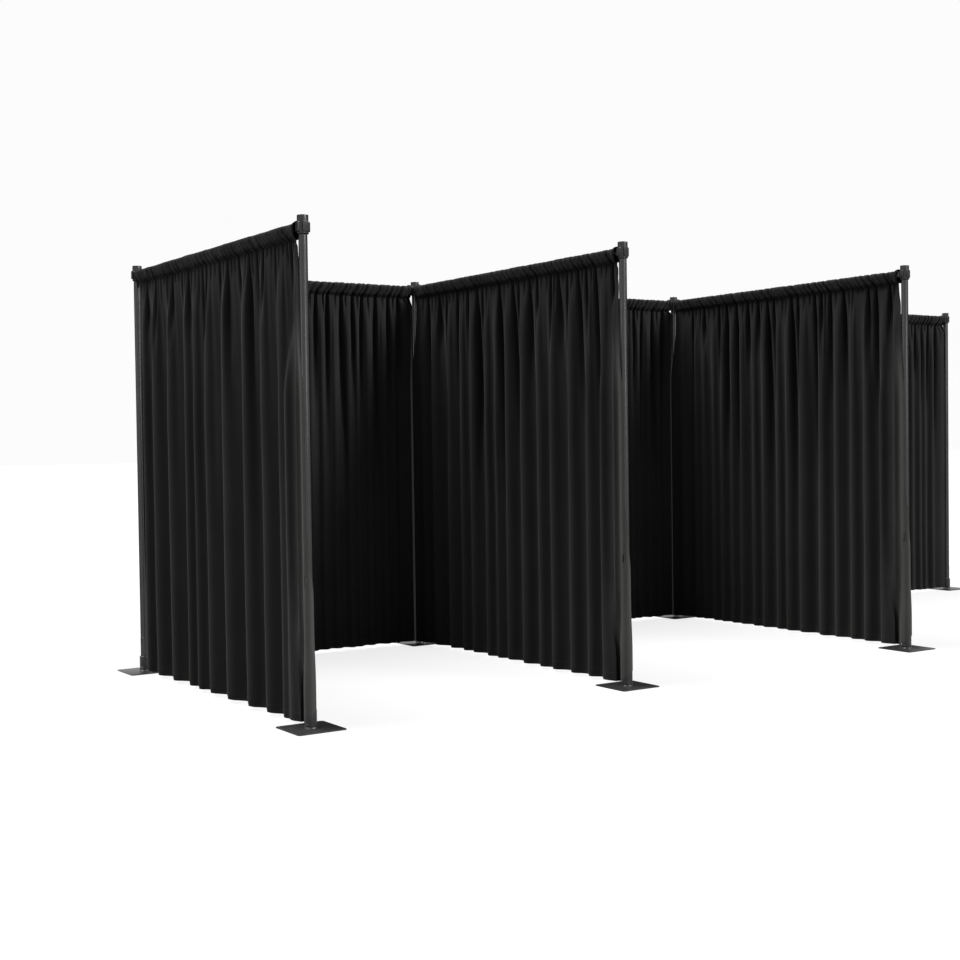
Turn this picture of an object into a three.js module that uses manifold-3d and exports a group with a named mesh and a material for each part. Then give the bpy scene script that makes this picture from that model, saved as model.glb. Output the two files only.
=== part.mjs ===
// Pipe and drape backdrop: a row of three booths, walled by gathered black drapes.
// Seven uprights on steel base plates carry six telescopic crossbars, and a drape hangs
// from each crossbar by its rod pocket. The booths open towards -Y.
// Millimetres, +Z up, +X along the row. The origin is on the floor, under the middle of the row.

import * as THREE from 'three';
import { mergeVertices } from 'three/addons/utils/BufferGeometryUtils.js';
import Module from 'manifold-3d';

const wasm = await Module();
wasm.setup();

// Layout of the row, from upright axis to upright axis
const standHeight = 2740;
const wallDepth = 2480;
const firstBayWidth = 2180;
const secondBayWidth = 2580;
const thirdBayWidth = 3550;

// Fits and joins
const fitGap = 0.3; // between a piece and the one that it slips into, slides in or rests on
const cutOverrun = 2; // how far a cutter passes the face that it opens
const weldReach = 1; // how far two shapes of one welded piece reach into each other

// Upright: a plain tube
const pipeDiameter = 48.3;
const pipeWall = 2.5;

// Base: a flat plate with a welded socket, and the bead of the weld round its foot
const plateSide = 290;
const plateThickness = 6;
const plateCornerRadius = 18;
const socketWall = 8.5;
const socketDepth = 93;
const socketFloor = 5;
const socketChamfer = 2;
const beadWidth = 3;
const beadHeight = 5;

// Crossbar: two tubes that telescope, a guide bush, and a bent hook at each end
const outerTubeDiameter = 38.1;
const barWall = 1.6;
const bushWall = 0.95;
const bushLength = 40;
const bushFlange = 4;
const barDrop = 57; // from the top of an upright's head to the bar's axis
const barSetback = 62; // from an upright's axis to the end of the bar's tube
const tubeLengthShare = 0.82;
const plugLength = 40;
const plugFlange = 3;
const bladeThickness = 3;
const bladeWidth = 24;
const bladeBend = 4.4;
const bladeReach = 45;
const bladeLegShare = 0.5;

// Head: a closed sleeve over the top of the tube, with a pressed loop on each of four sides
const headWall = 6.5;
const headRoof = 5;
const headChamfer = 2.5;
const headSkirt = 10; // below the loops
const lipWidth = 1.2;
const lipHeight = 6;
const loopDrop = 34; // from the top of the head to the top of its loops
const loopHeight = 56;
const loopThickness = 1.6;
const loopSide = 2.4;
const loopCorner = 7;
const bladePlay = 0.7; // on each face of a blade in its pocket
const bladeSidePlay = 1.5;

// Drape: a rod pocket round the bar, and the cloth below it in folds that deepen downwards
const clothThickness = 2;
const pocketSeamDrop = 72;
const pocketSeamBand = 6;
const drapeInset = 4; // from the end of the bar's tube to the cloth
const hemClearance = 15;
const wideFoldPitch = 270; // the first side wall's
const foldPitch = 210; // the other walls'
const seamFoldDepth = 8;
const midFoldDepth = 30;
const hemFoldDepth = 44;
const midRowShare = 0.7;
const foldUnevenShare = 0.22;
const foldColumnShares = [0.13, 0.37, 0.63, 0.87];
const foldSides = [1, 1, -1, -1];

// Facets
const uprightSides = 16;
const barSides = 12;
const cornerSteps = 2;
const bendSteps = 2;

const quarterTurn = Math.PI / 2;
const sixthTurn = Math.PI / 3;

// Sizes that follow from the ones above
const pipeBore = pipeDiameter + 2 * fitGap;
const socketDiameter = pipeBore + 2 * socketWall;
const socketHeight = socketFloor + socketDepth;
const headDiameter = pipeBore + 2 * headWall;
const headHeight = loopDrop + loopHeight + headSkirt;
const pocketGap = bladeThickness + 2 * bladePlay;
const pocketWidth = bladeWidth + 2 * bladeSidePlay;
const innerTubeDiameter = outerTubeDiameter - 2 * (barWall + bushWall + 2 * fitGap);
const drapeSetback = barSetback + drapeInset;

const paintedSteel = new THREE.MeshStandardMaterial({ color: 0x2a2a2b, roughness: 0.42, metalness: 0.55 });
const blackTube = new THREE.MeshStandardMaterial({ color: 0x343435, roughness: 0.34, metalness: 0.7 });
const paintedHead = new THREE.MeshStandardMaterial({ color: 0x3c3c3d, roughness: 0.38, metalness: 0.7 });
const bareTube = new THREE.MeshStandardMaterial({ color: 0xa6a7a8, roughness: 0.35, metalness: 0.9 });
const guidePlastic = new THREE.MeshStandardMaterial({ color: 0x161616, roughness: 0.6, metalness: 0 });
const blackCloth = new THREE.MeshStandardMaterial({ color: 0x121213, roughness: 0.95, metalness: 0 });

// Solids

function toSolid(geometry) {
  geometry.deleteAttribute('normal');
  geometry.deleteAttribute('uv');
  const merged = mergeVertices(geometry);
  return new wasm.Manifold(new wasm.Mesh({
    numProp: 3,
    vertProperties: new Float32Array(merged.attributes.position.array),
    triVerts: new Uint32Array(merged.index.array),
  }));
}

function toGeometry(solid) {
  const mesh = solid.getMesh();
  const geometry = new THREE.BufferGeometry();
  geometry.setAttribute('position', new THREE.BufferAttribute(mesh.vertProperties, 3));
  geometry.setIndex(new THREE.BufferAttribute(mesh.triVerts, 1));
  geometry.computeVertexNormals();
  return geometry;
}

// A turned form about +Z, from a list of [radius, height] points, with a flat towards +X
function turned(outline, sides) {
  const points = outline.map(([radius, height]) => new THREE.Vector2(radius, height));
  return new THREE.LatheGeometry(points, sides, Math.PI / sides).rotateX(quarterTurn);
}

// A round tube about +Z that starts at height zero
function tube(outerRadius, innerRadius, length, sides) {
  return turned([
    [innerRadius, 0], [outerRadius, 0], [outerRadius, length], [innerRadius, length], [innerRadius, 0],
  ], sides);
}

// A rectangle about the origin with round corners, from the centres of its corner arcs
function roundedRectangle(width, height, radius) {
  const x = width / 2 - radius;
  const y = height / 2 - radius;
  const shape = new THREE.Shape();
  shape.absarc(x, y, radius, 0, quarterTurn);
  shape.absarc(-x, y, radius, quarterTurn, 2 * quarterTurn);
  shape.absarc(-x, -y, radius, 2 * quarterTurn, 3 * quarterTurn);
  shape.absarc(x, -y, radius, 3 * quarterTurn, 4 * quarterTurn);
  return shape;
}

function extruded(shape, depth, curveSegments) {
  return new THREE.ExtrudeGeometry(shape, { depth, bevelEnabled: false, curveSegments });
}

// Base

function makeBase() {
  const bore = pipeBore / 2;
  const radius = socketDiameter / 2;
  const square = roundedRectangle(plateSide, plateSide, plateCornerRadius);
  const plate = extruded(square, plateThickness, cornerSteps);
  const socket = turned([
    [0, -weldReach],
    [radius + beadWidth, -weldReach],
    [radius + beadWidth, 0],
    [radius, beadHeight],
    [radius, socketHeight - socketChamfer],
    [radius - socketChamfer, socketHeight],
    [bore, socketHeight],
    [bore, socketFloor],
    [0, socketFloor],
  ], uprightSides).translate(0, 0, plateThickness);
  return toGeometry(toSolid(plate).add(toSolid(socket)));
}

// Upright

function makeUpright() {
  const foot = plateThickness + socketFloor + fitGap;
  const top = standHeight - headRoof - fitGap;
  const radius = pipeDiameter / 2;
  return tube(radius, radius - pipeWall, top - foot, uprightSides).translate(0, 0, foot);
}

// Head

// One loop that faces +X: an oval pressed outwards, and cut through behind for a hook to drop in
function makeLoop() {
  const radius = headDiameter / 2;
  const width = pocketWidth + 2 * loopSide;
  const root = Math.sqrt(radius ** 2 - (width / 2) ** 2) - weldReach;
  const face = radius + pocketGap;
  const outline = roundedRectangle(loopHeight, width, loopCorner);
  const oval = extruded(outline, face + loopThickness - root, cornerSteps)
    .rotateY(quarterTurn)
    .translate(root, 0, 0);
  const pocket = new THREE.BoxGeometry(face, pocketWidth, loopHeight + cutOverrun).translate(face / 2, 0, 0);
  return toSolid(oval).subtract(toSolid(pocket));
}

// The head's top is at height zero
function makeHead() {
  const bore = pipeBore / 2;
  const radius = headDiameter / 2;
  const sleeve = turned([
    [0, -headRoof],
    [bore, -headRoof],
    [bore, -headHeight],
    [radius + lipWidth, -headHeight],
    [radius + lipWidth, lipHeight - headHeight],
    [radius, lipHeight + lipWidth - headHeight],
    [radius, -headChamfer],
    [radius - headChamfer, 0],
    [0, 0],
  ], uprightSides);
  const loop = makeLoop().translate([0, 0, -loopDrop - loopHeight / 2]);
  let head = toSolid(sleeve);
  for (let side = 0; side < 4; side += 1) {
    head = head.add(loop.rotate([0, 0, THREE.MathUtils.radToDeg(side * quarterTurn)]));
  }
  return toGeometry(head);
}

// Crossbar: each piece lies along +X, with the bar's axis at height zero

// Clear length between the ends of the two tubes of a bar
const clearLength = (span) => span - 2 * barSetback;

function barTube(diameter, span) {
  const radius = diameter / 2;
  return tube(radius, radius - barWall, tubeLengthShare * clearLength(span), barSides).rotateY(quarterTurn);
}

// The bush sits in the mouth of the outer tube, and the inner tube slides in it
function makeBush() {
  const bore = innerTubeDiameter / 2 + fitGap;
  const radius = outerTubeDiameter / 2;
  const sleeve = radius - barWall - fitGap;
  return turned([
    [bore, -bushLength],
    [sleeve, -bushLength],
    [sleeve, fitGap],
    [radius, fitGap],
    [radius, bushFlange],
    [bore, bushFlange],
    [bore, -bushLength],
  ], barSides).rotateY(quarterTurn);
}

function arcPoints(x, y, radius, from, to) {
  return Array.from({ length: bendSteps + 1 }, (_, i) => {
    const angle = THREE.MathUtils.lerp(from, to, i / bendSteps);
    return new THREE.Vector2(x + radius * Math.cos(angle), y + radius * Math.sin(angle));
  });
}

// The centre line of the blade: up the plug's face, over the loop, and down into the pocket.
// x is the distance from the upright's axis and y the height above the bar's axis.
function bladeLine(plugRadius) {
  const loopTop = barDrop - loopDrop;
  const pocketX = headDiameter / 2 + pocketGap / 2;
  const bendX = pocketX + bladeBend;
  const loopOffset = Math.max(bendX - headDiameter / 2 - pocketGap, 0);
  const innerBend = bladeBend * Math.cos(quarterTurn / bendSteps / 2) - bladeThickness / 2;
  const bendY = loopTop + fitGap - Math.sqrt(innerBend ** 2 - loopOffset ** 2);
  const legX = barSetback - fitGap - plugFlange - bladeThickness / 2 + weldReach;
  return [
    new THREE.Vector2(legX, -plugRadius * bladeLegShare),
    ...arcPoints(legX - bladeBend, bendY, bladeBend, 0, quarterTurn),
    ...arcPoints(bendX, bendY, bladeBend, quarterTurn, 2 * quarterTurn),
    new THREE.Vector2(pocketX, loopTop - bladeReach),
  ];
}

// A strip of even thickness along a centre line
function stripOutline(points, thickness) {
  const directions = points.slice(1).map((point, i) => point.clone().sub(points[i]).normalize());
  const left = [];
  const right = [];
  points.forEach((point, i) => {
    const into = directions[Math.max(i - 1, 0)];
    const out = directions[Math.min(i, directions.length - 1)];
    const along = into.clone().add(out).normalize();
    const across = new THREE.Vector2(-along.y, along.x).multiplyScalar(thickness / 2 / along.dot(out));
    left.push(point.clone().add(across));
    right.unshift(point.clone().sub(across));
  });
  return new THREE.Shape([...left, ...right]);
}

function makeHook(tubeDiameter) {
  const flangeRadius = tubeDiameter / 2;
  const plugRadius = flangeRadius - barWall - fitGap;
  const face = barSetback - fitGap;
  const plug = turned([
    [0, face - plugFlange],
    [flangeRadius, face - plugFlange],
    [flangeRadius, face],
    [plugRadius, face],
    [plugRadius, face + plugLength],
    [0, face + plugLength],
  ], barSides).rotateY(quarterTurn);
  const blade = extruded(stripOutline(bladeLine(plugRadius), bladeThickness), bladeWidth, 1)
    .rotateX(quarterTurn)
    .translate(0, bladeWidth / 2, 0);
  return toGeometry(toSolid(plug).add(toSolid(blade)));
}

// Drape

// The cut through a drape at one place along it, as [offset, height] points. The three folds
// say how far the cloth is thrown to one side at the pocket's seam, lower down and at the hem.
// The outside runs counterclockwise and the inside clockwise.
function drapeSection(seamFold, midFold, hemFold) {
  const half = clothThickness / 2;
  const tunnelTop = outerTubeDiameter / 2 + fitGap;
  const tunnelSide = tunnelTop / Math.cos(sixthTurn / 2);
  const pocketTop = tunnelTop + clothThickness;
  const pocketSide = pocketTop / Math.cos(sixthTurn / 2);
  const hemHeight = hemClearance + barDrop - standHeight;
  const midHeight = THREE.MathUtils.lerp(hemHeight, -pocketSeamDrop, midRowShare);
  const tunnelFoot = pocketSeamBand - pocketSeamDrop;
  const outside = [
    [hemFold + half, hemHeight],
    [midFold + half, midHeight],
    [seamFold + half, -pocketSeamDrop],
    [pocketSide, 0],
    [pocketSide / 2, pocketTop],
    [-pocketSide / 2, pocketTop],
    [-pocketSide, 0],
    [seamFold - half, -pocketSeamDrop],
    [midFold - half, midHeight],
    [hemFold - half, hemHeight],
  ];
  const inside = [
    [seamFold, tunnelFoot],
    [-tunnelSide, 0],
    [-tunnelSide / 2, tunnelTop],
    [tunnelSide / 2, tunnelTop],
    [tunnelSide, 0],
  ];
  return { outside, inside };
}

// Where the cuts lie along a drape, and how far each throws the cloth, from -1 to 1
function foldColumns(length, pitch) {
  const folds = Math.max(Math.round(length / pitch), 1);
  const columns = [{ x: 0, throwShare: 0 }];
  for (let fold = 0; fold < folds; fold += 1) {
    const depthShare = 1 - foldUnevenShare * (1 + Math.sin(fold * fold + fold)) / 2;
    foldColumnShares.forEach((share, i) => {
      columns.push({ x: (fold + share) * length / folds, throwShare: foldSides[i] * depthShare });
    });
  }
  columns.push({ x: length, throwShare: 0 });
  return columns;
}

// Joins the cuts of a drape into one closed skin. Every face between two cuts is split from its
// lower corner on the first to its upper corner on the next, so that the cloth's two sides run alike.
function makeDrape(span, pitch) {
  const sections = foldColumns(span - 2 * drapeSetback, pitch).map(({ x, throwShare }) => ({
    x: x + drapeSetback,
    ...drapeSection(seamFoldDepth * throwShare, midFoldDepth * throwShare, hemFoldDepth * throwShare),
  }));
  const positions = [];
  const indices = [];
  for (const { x, outside, inside } of sections) {
    for (const [offset, height] of [...outside, ...inside]) positions.push(x, offset, height);
  }
  const [{ outside, inside }] = sections;
  const count = outside.length + inside.length;
  const skinStrip = (first, ring, step) => {
    ring.forEach(([, height], i) => {
      const next = (i + 1) % ring.length;
      const a = step * count + first + i;
      const b = step * count + first + next;
      const rises = ring[next][1] > height;
      if (rises) indices.push(a, b, b + count, a, b + count, a + count);
      else indices.push(a, b, a + count, b, b + count, a + count);
    });
  };
  for (let step = 0; step < sections.length - 1; step += 1) {
    skinStrip(0, outside, step);
    skinStrip(outside.length, inside, step);
  }
  const toVectors = (list) => list.map(([offset, height]) => new THREE.Vector2(offset, height));
  const last = (sections.length - 1) * count;
  for (const [a, b, c] of THREE.ShapeUtils.triangulateShape(toVectors(outside), [toVectors(inside)])) {
    indices.push(a, c, b);
    indices.push(last + a, last + b, last + c);
  }
  const geometry = new THREE.BufferGeometry();
  geometry.setAttribute('position', new THREE.Float32BufferAttribute(positions, 3));
  geometry.setIndex(indices);
  geometry.computeVertexNormals();
  return geometry;
}

// Assembly

const backdrop = new THREE.Group();

function addMesh(parent, name, geometry, material, x = 0, z = 0) {
  const mesh = new THREE.Mesh(geometry, material);
  mesh.name = name;
  mesh.position.set(x, 0, z);
  parent.add(mesh);
  return mesh;
}

function addStand(name, x, y) {
  const stand = new THREE.Group();
  stand.position.set(x, y, 0);
  addMesh(stand, `${name}_base`, makeBase(), paintedSteel);
  addMesh(stand, `${name}_upright`, makeUpright(), blackTube);
  addMesh(stand, `${name}_head`, makeHead(), paintedHead, 0, standHeight);
  backdrop.add(stand);
}

// A wall starts at one upright's axis and runs along its own +X to the next upright
function addWall(name, x, y, turn, span, pitch, startName, endName) {
  const wall = new THREE.Group();
  wall.position.set(x, y, 0);
  wall.rotation.z = turn;
  const barHeight = standHeight - barDrop;
  const tubeLength = tubeLengthShare * clearLength(span);
  const mouth = barSetback + tubeLength;
  addMesh(wall, `${name}_outer_tube`, barTube(outerTubeDiameter, span), blackTube, barSetback, barHeight);
  addMesh(wall, `${name}_guide_bush`, makeBush(), guidePlastic, mouth, barHeight);
  addMesh(wall, `${name}_inner_tube`, barTube(innerTubeDiameter, span), bareTube, span - mouth, barHeight);
  addMesh(wall, `${name}_${startName}_hook`, makeHook(outerTubeDiameter), paintedSteel, 0, barHeight);
  const endHook = makeHook(innerTubeDiameter).rotateZ(2 * quarterTurn);
  addMesh(wall, `${name}_${endName}_hook`, endHook, paintedSteel, span, barHeight);
  addMesh(wall, `${name}_drape`, makeDrape(span, pitch), blackCloth, 0, barHeight);
  backdrop.add(wall);
}

const bayWidths = [firstBayWidth, secondBayWidth, thirdBayWidth];
const rowLength = bayWidths.reduce((sum, width) => sum + width, 0);
const frontY = -wallDepth / 2;
const rearY = wallDepth / 2;

let uprightX = -rowLength / 2;
bayWidths.forEach((width, i) => {
  const number = i + 1;
  addStand(`front_${number}`, uprightX, frontY);
  addStand(`rear_${number}`, uprightX, rearY);
  const sidePitch = i === 0 ? wideFoldPitch : foldPitch;
  addWall(`side_${number}`, uprightX, rearY, -quarterTurn, wallDepth, sidePitch, 'rear', 'front');
  addWall(`back_${number}`, uprightX, rearY, 0, width, foldPitch, 'left', 'right');
  uprightX += width;
});
addStand(`rear_${bayWidths.length + 1}`, uprightX, rearY);

export default backdrop;
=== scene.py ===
import math
import random

import bpy
import numpy as np
from mathutils import Matrix, Vector


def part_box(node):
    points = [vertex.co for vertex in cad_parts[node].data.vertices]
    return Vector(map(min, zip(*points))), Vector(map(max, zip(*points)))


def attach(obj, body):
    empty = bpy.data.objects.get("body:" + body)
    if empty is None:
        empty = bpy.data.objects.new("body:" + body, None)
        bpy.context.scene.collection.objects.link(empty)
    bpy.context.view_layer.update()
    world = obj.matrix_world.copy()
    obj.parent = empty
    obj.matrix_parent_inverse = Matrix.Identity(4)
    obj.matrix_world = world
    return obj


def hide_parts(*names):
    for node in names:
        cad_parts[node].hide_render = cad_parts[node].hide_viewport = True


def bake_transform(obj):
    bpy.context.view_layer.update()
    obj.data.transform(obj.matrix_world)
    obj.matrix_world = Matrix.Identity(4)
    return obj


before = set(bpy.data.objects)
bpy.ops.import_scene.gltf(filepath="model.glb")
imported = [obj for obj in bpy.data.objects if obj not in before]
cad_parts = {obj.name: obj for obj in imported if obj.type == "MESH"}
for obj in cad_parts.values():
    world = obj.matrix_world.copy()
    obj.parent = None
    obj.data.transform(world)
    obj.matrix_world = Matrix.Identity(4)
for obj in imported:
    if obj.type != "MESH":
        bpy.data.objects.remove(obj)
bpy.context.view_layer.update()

# Pipe and drape backdrop: a row of three booths walled by gathered black drapes.
# Metres, +Z up, +X along the row, and the booths open towards -Y.
scene = bpy.context.scene
scene.view_settings.view_transform = "Standard"

# The camera, fitted to the photo
camera = {
    "place": (-7.631, -8.161, 1.521),
    "yaw": 33.51,        # degrees from +Y towards +X
    "pitch": 1.492,      # degrees down
    "roll": -0.773,
    "lens": 54.1,
}


def addCamera(name, spec):
    yaw, pitch, roll = (math.radians(spec[key]) for key in ("yaw", "pitch", "roll"))
    forward = Vector((math.sin(yaw) * math.cos(pitch), math.cos(yaw) * math.cos(pitch), -math.sin(pitch)))
    right = Vector((math.cos(yaw), -math.sin(yaw), 0))
    up = right.cross(forward)
    tiltedRight = math.cos(roll) * right + math.sin(roll) * up
    tiltedUp = math.cos(roll) * up - math.sin(roll) * right
    data = bpy.data.cameras.new(name)
    data.lens = spec["lens"]
    data.sensor_width = 36
    data.clip_end = 300
    obj = bpy.data.objects.new(name, data)
    scene.collection.objects.link(obj)
    turn = Matrix((tiltedRight, tiltedUp, -forward)).transposed().to_4x4()
    obj.matrix_world = Matrix.Translation(Vector(spec["place"])) @ turn
    return obj


scene.camera = addCamera("viewCamera", camera)

# Helpers for node trees


def addMath(tree, operation, *values):
    node = tree.nodes.new("ShaderNodeMath")
    node.operation = operation
    for socket, value in zip(node.inputs, values):
        if isinstance(value, (int, float)):
            socket.default_value = value
        else:
            tree.links.new(value, socket)
    return node.outputs[0]


def product(tree, first, second):
    return addMath(tree, "MULTIPLY", first, second)


def total(tree, first, second):
    return addMath(tree, "ADD", first, second)


def addRange(tree, value, low, high):
    node = tree.nodes.new("ShaderNodeMapRange")
    node.inputs["To Min"].default_value = low
    node.inputs["To Max"].default_value = high
    tree.links.new(value, node.inputs["Value"])
    return node.outputs["Result"]


def startMaterial(name, roughness, metallic):
    material = bpy.data.materials.new(name)
    material.use_nodes = True
    tree = material.node_tree
    shader = tree.nodes["Principled BSDF"]
    shader.inputs["Roughness"].default_value = roughness
    shader.inputs["Metallic"].default_value = metallic
    return material, tree, shader


# Lights, world and floor
light = {
    "backgroundWhite": 0.973,
    "worldFill": 0.15,
    "floorSide": 240,
    "floorGlow": 0.84,      # the share of the floor that shines by itself, to the camera alone
    "floorPaint": 0.80,
    "floorBounce": 0.21,    # its paint as the other light meets it
    # strength, degrees to the left of the camera, height and spread in degrees
    "suns": {
        "keyLight": (5.4, 101, 62, 38),
        "frontLight": (3.6, -68, 42, 22),
        "sideLight": (0.12, 72, 13, 16),    # this one and the next make the bright lines along the tubes
        "lowLight": (0.28, -40, 13, 16),
    },
}


def addSun(name, strength, turn, height, spread):
    angle = math.radians(180 + camera["yaw"] + turn)
    rise = math.radians(height)
    towards = Vector((math.sin(angle) * math.cos(rise), math.cos(angle) * math.cos(rise), math.sin(rise)))
    data = bpy.data.lights.new(name, "SUN")
    data.energy = strength
    data.angle = math.radians(spread)
    obj = bpy.data.objects.new(name, data)
    obj.rotation_euler = towards.to_track_quat("Z", "Y").to_euler()
    scene.collection.objects.link(obj)


for name, values in light["suns"].items():
    addSun(name, *values)


def showInMirrors(tree, path, share):
    # what the tubes mirror is the white that the camera sees
    for ray in ("Is Glossy Ray", "Is Transmission Ray"):
        share = addMath(tree, "MAXIMUM", share, path.outputs[ray])
    return share


def makeWorld():
    world = bpy.data.worlds.new("studio")
    scene.world = world
    world.use_nodes = True
    tree = world.node_tree
    path = tree.nodes.new("ShaderNodeLightPath")
    share = showInMirrors(tree, path, path.outputs["Is Camera Ray"])
    strength = addRange(tree, share, light["worldFill"], light["backgroundWhite"])
    background = tree.nodes["Background"]
    tree.links.new(strength, background.inputs["Strength"])
    background.inputs["Color"].default_value = (1, 1, 1, 1)


def makeFloor():
    bpy.ops.object.select_all(action="DESELECT")
    bpy.ops.mesh.primitive_plane_add(size=light["floorSide"], location=(0, 0, 0))
    floor = bpy.context.object
    floor.name = "floor"
    material, tree, paint = startMaterial("paleFloor", 1.0, 0.0)
    paint.inputs["Specular IOR Level"].default_value = 0.0
    path = tree.nodes.new("ShaderNodeLightPath")
    toCamera = path.outputs["Is Camera Ray"]
    tone = addRange(tree, toCamera, light["floorBounce"], light["floorPaint"])
    tree.links.new(tone, paint.inputs["Base Color"])
    glow = tree.nodes.new("ShaderNodeEmission")
    glow.inputs["Strength"].default_value = light["backgroundWhite"]
    mix = tree.nodes.new("ShaderNodeMixShader")
    share = product(tree, toCamera, light["floorGlow"])
    tree.links.new(showInMirrors(tree, path, share), mix.inputs["Fac"])
    tree.links.new(paint.outputs[0], mix.inputs[1])
    tree.links.new(glow.outputs[0], mix.inputs[2])
    tree.links.new(mix.outputs[0], tree.nodes["Material Output"].inputs["Surface"])
    floor.data.materials.append(material)


makeWorld()
makeFloor()
print("stage: camera, lights and floor")

# Shader effects that more than one material uses


def newGroup(name, inputs, outputs):
    # an input with no value is a vector, and everything else is a float
    group = bpy.data.node_groups.new(name, "ShaderNodeTree")
    for socket, value in inputs.items():
        kind = "NodeSocketVector" if value is None else "NodeSocketFloat"
        made = group.interface.new_socket(name=socket, in_out="INPUT", socket_type=kind)
        if value is not None:
            made.default_value = value
    for socket in outputs:
        group.interface.new_socket(name=socket, in_out="OUTPUT", socket_type="NodeSocketFloat")
    given, result = group.nodes.new("NodeGroupInput"), group.nodes.new("NodeGroupOutput")
    return group, given.outputs, result.inputs


def addNoise(tree, vector, scale, detail=3.0, roughness=0.5):
    node = tree.nodes.new("ShaderNodeTexNoise")
    node.inputs["Detail"].default_value = detail
    node.inputs["Roughness"].default_value = roughness
    if isinstance(scale, (int, float)):
        node.inputs["Scale"].default_value = scale
    else:
        tree.links.new(scale, node.inputs["Scale"])
    tree.links.new(vector, node.inputs["Vector"])
    return node.outputs[0]


def makeWeaveGroup():
    group, given, result = newGroup(
        "clothWeave", {"Vector": None, "Threads": 900.0, "Slub": 0.3}, ("Height", "Shade"))
    parts = group.nodes.new("ShaderNodeSeparateXYZ")
    group.links.new(given["Vector"], parts.inputs[0])
    waves = []
    for axis in ("X", "Y"):
        turns = product(group, parts.outputs[axis], given["Threads"])
        waves.append(addMath(group, "SINE", product(group, turns, 2 * math.pi)))
    checks = product(group, *waves)
    slub = addNoise(group, given["Vector"], 60.0, 4.0, 0.65)
    slubs = product(group, addMath(group, "SUBTRACT", slub, 0.5), given["Slub"])
    group.links.new(total(group, product(group, checks, 0.5), slubs), result["Height"])
    group.links.new(total(group, slubs, product(group, checks, 0.12)), result["Shade"])
    return group


def makeStitchGroup():
    # a row of dashes: Across runs over the row, Along runs with it, both in metres
    values = {"Along": 0.0, "Across": 0.0, "Row": 0.07, "Pitch": 0.005, "Width": 0.0009}
    group, given, result = newGroup("stitchRow", values, ("Mask",))
    apart = addMath(group, "ABSOLUTE", addMath(group, "SUBTRACT", given["Across"], given["Row"]))
    near = addMath(group, "LESS_THAN", apart, given["Width"])
    turn = addMath(group, "FRACT", addMath(group, "DIVIDE", given["Along"], given["Pitch"]))
    dash = addMath(group, "LESS_THAN", turn, 0.66)
    group.links.new(product(group, near, dash), result["Mask"])
    return group


def makeScuffGroup():
    # mottling and fine rubbed marks in paint or on tube
    values = {"Vector": None, "Grain": 900.0, "Marks": 40.0, "Amount": 0.35}
    group, given, result = newGroup("paintScuffs", values, ("Height", "Wear", "Shade"))
    group.links.new(addNoise(group, given["Vector"], given["Grain"], 2.0), result["Height"])
    marks = addNoise(group, given["Vector"], given["Marks"], 8.0, 0.7)
    bare = addMath(group, "MAXIMUM", addMath(group, "SUBTRACT", marks, 0.56), 0.0)
    wear = addMath(group, "MINIMUM", product(group, bare, 6.0), 1.0)
    group.links.new(product(group, wear, given["Amount"]), result["Wear"])
    group.links.new(addMath(group, "SUBTRACT", marks, 0.5), result["Shade"])
    return group


weaveGroup = makeWeaveGroup()
stitchGroup = makeStitchGroup()
scuffGroup = makeScuffGroup()


def placeGroup(nodes, group, **values):
    node = nodes.new("ShaderNodeGroup")
    node.node_tree = group
    for socket, value in values.items():
        node.inputs[socket].default_value = value
    return node


def mixColours(tree, share, first, second):
    mix = tree.nodes.new("ShaderNodeMix")
    mix.data_type = "RGBA"
    tree.links.new(share, mix.inputs["Factor"])
    for name, value in (("A", first), ("B", second)):
        socket = next(s for s in mix.inputs if s.name == name and s.type == "RGBA")
        if isinstance(value, tuple):
            socket.default_value = (*value, 1)
        else:
            tree.links.new(value, socket)
    return next(s for s in mix.outputs if s.type == "RGBA")


def addBump(tree, shader, height, distance, strength):
    bump = tree.nodes.new("ShaderNodeBump")
    bump.inputs["Distance"].default_value = distance
    bump.inputs["Strength"].default_value = strength
    tree.links.new(height, bump.inputs["Height"])
    tree.links.new(bump.outputs["Normal"], shader.inputs["Normal"])


cloth = {
    "colour": (0.0310, 0.0310, 0.0306),
    "deep": (0.0215, 0.0215, 0.0213),
    "liningAndHighlight": (0.064, 0.064, 0.062),
    "thread": (0.046, 0.046, 0.045),
    "roughness": 0.82,
    # the colour of the painted shade down in the creases and gaps
    "creaseAndShade": (0.0070, 0.0070, 0.0070),     # down in the narrow gaps
    "sheen": 0.070,
    "sheenRoughness": 0.30,
    "threadsPerMetre": 950.0,
    "hemStitch": 0.070,
    "sideStitch": 0.022,
}


def readMark(tree, name):
    node = tree.nodes.new("ShaderNodeAttribute")
    node.attribute_name = name
    return node.outputs["Fac"]


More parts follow.
